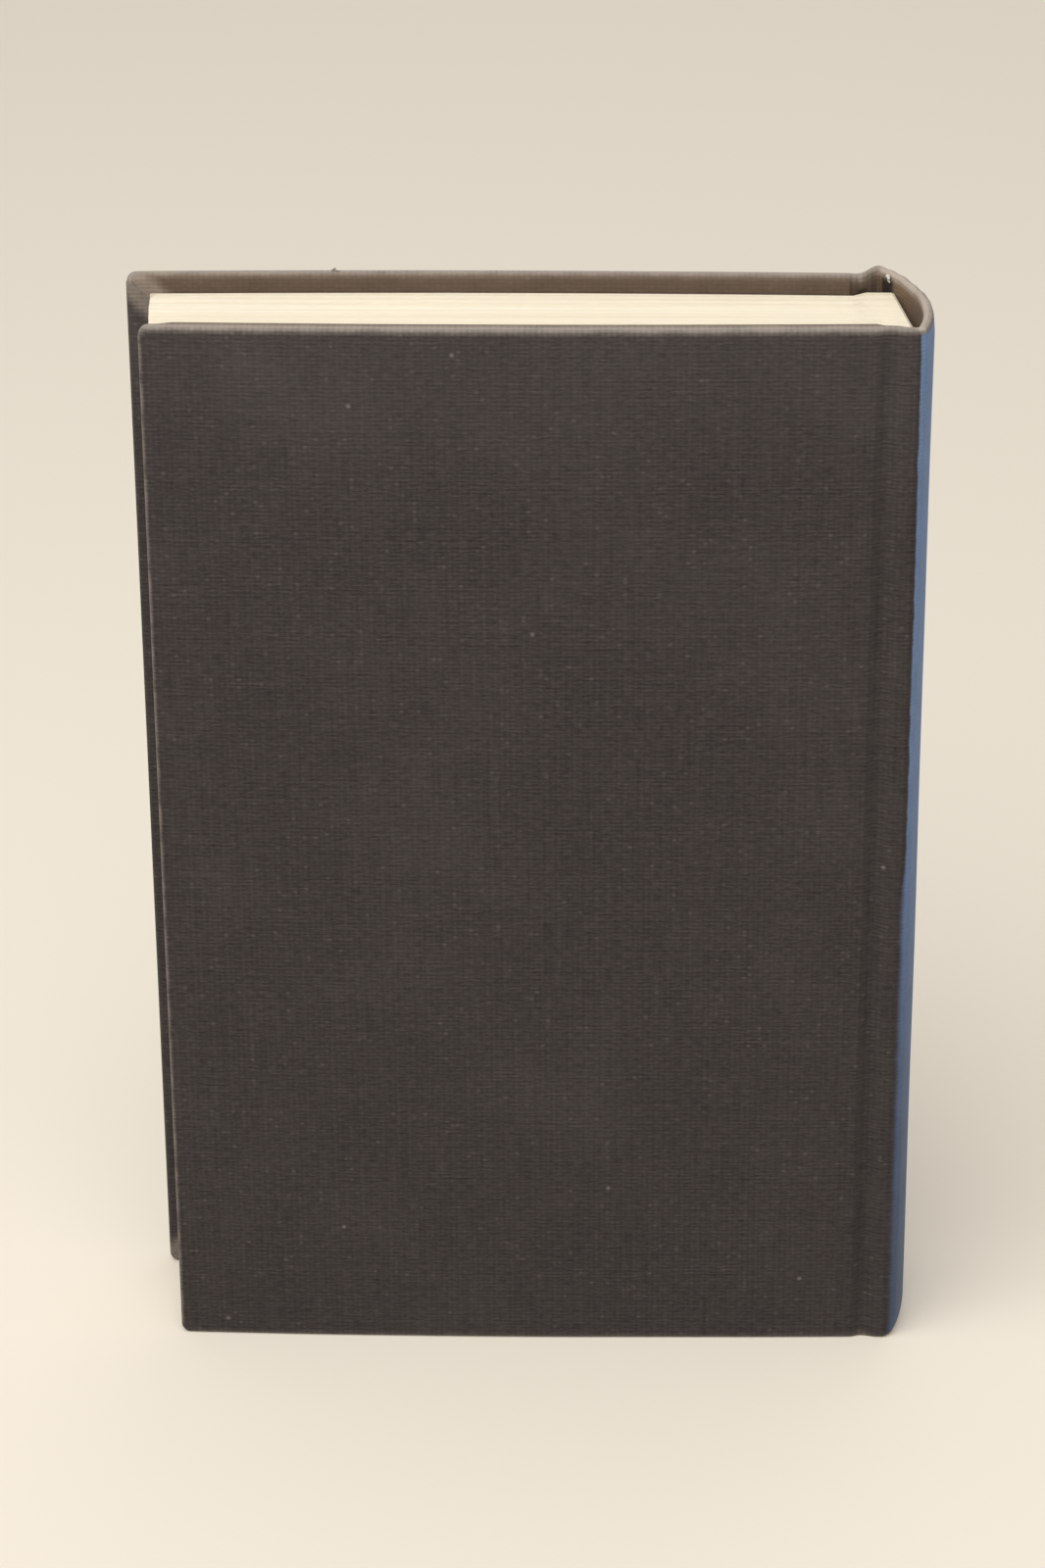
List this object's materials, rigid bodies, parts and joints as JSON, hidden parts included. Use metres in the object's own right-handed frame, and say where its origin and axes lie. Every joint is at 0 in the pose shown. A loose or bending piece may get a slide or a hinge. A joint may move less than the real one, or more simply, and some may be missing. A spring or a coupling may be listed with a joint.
{
  "type": "hardback book",
  "caption": "Cloth-covered hardback book with a rounded hollow spine, standing closed on its tail edges; both covers open.",
  "frame": {"origin": "under the middle of the closed book, at the level of its tail edges", "axes": "+Z from tail to head, +X from the fore-edge to the spine, +Y from the back cover to the front cover"},
  "size_m": [0.1494, 0.0324, 0.216],
  "materials": {
    "page_paper": "matte",
    "endpaper": "matte",
    "book_cloth": "matte",
    "grey_board": "matte",
    "spine_card": "matte",
    "lining_cloth": "matte"
  },
  "bodies": {
    "block": {"text_block": "page_paper", "back_flyleaf": "endpaper", "front_flyleaf": "endpaper", "spine_lining": "lining_cloth", "spine_board": "spine_card", "spine_cloth": "book_cloth"},
    "back_cover": {"back_board": "grey_board", "back_cloth": "book_cloth", "back_pastedown": "endpaper"},
    "front_cover": {"front_board": "grey_board", "front_cloth": "book_cloth", "front_pastedown": "endpaper"}
  },
  "joints": [
    {"name": "back_cover_hinge", "type": "hinge", "parent": "block", "child": "back_cover", "pos_m": [0.06975, -0.01505, 0.108], "axis": [0, 0, 1], "range_deg": [0, 180]},
    {"name": "front_cover_hinge", "type": "hinge", "parent": "block", "child": "front_cover", "pos_m": [0.06505, 0.01395, 0.108], "axis": [0, 0, -1], "range_deg": [0, 180]}
  ]
}
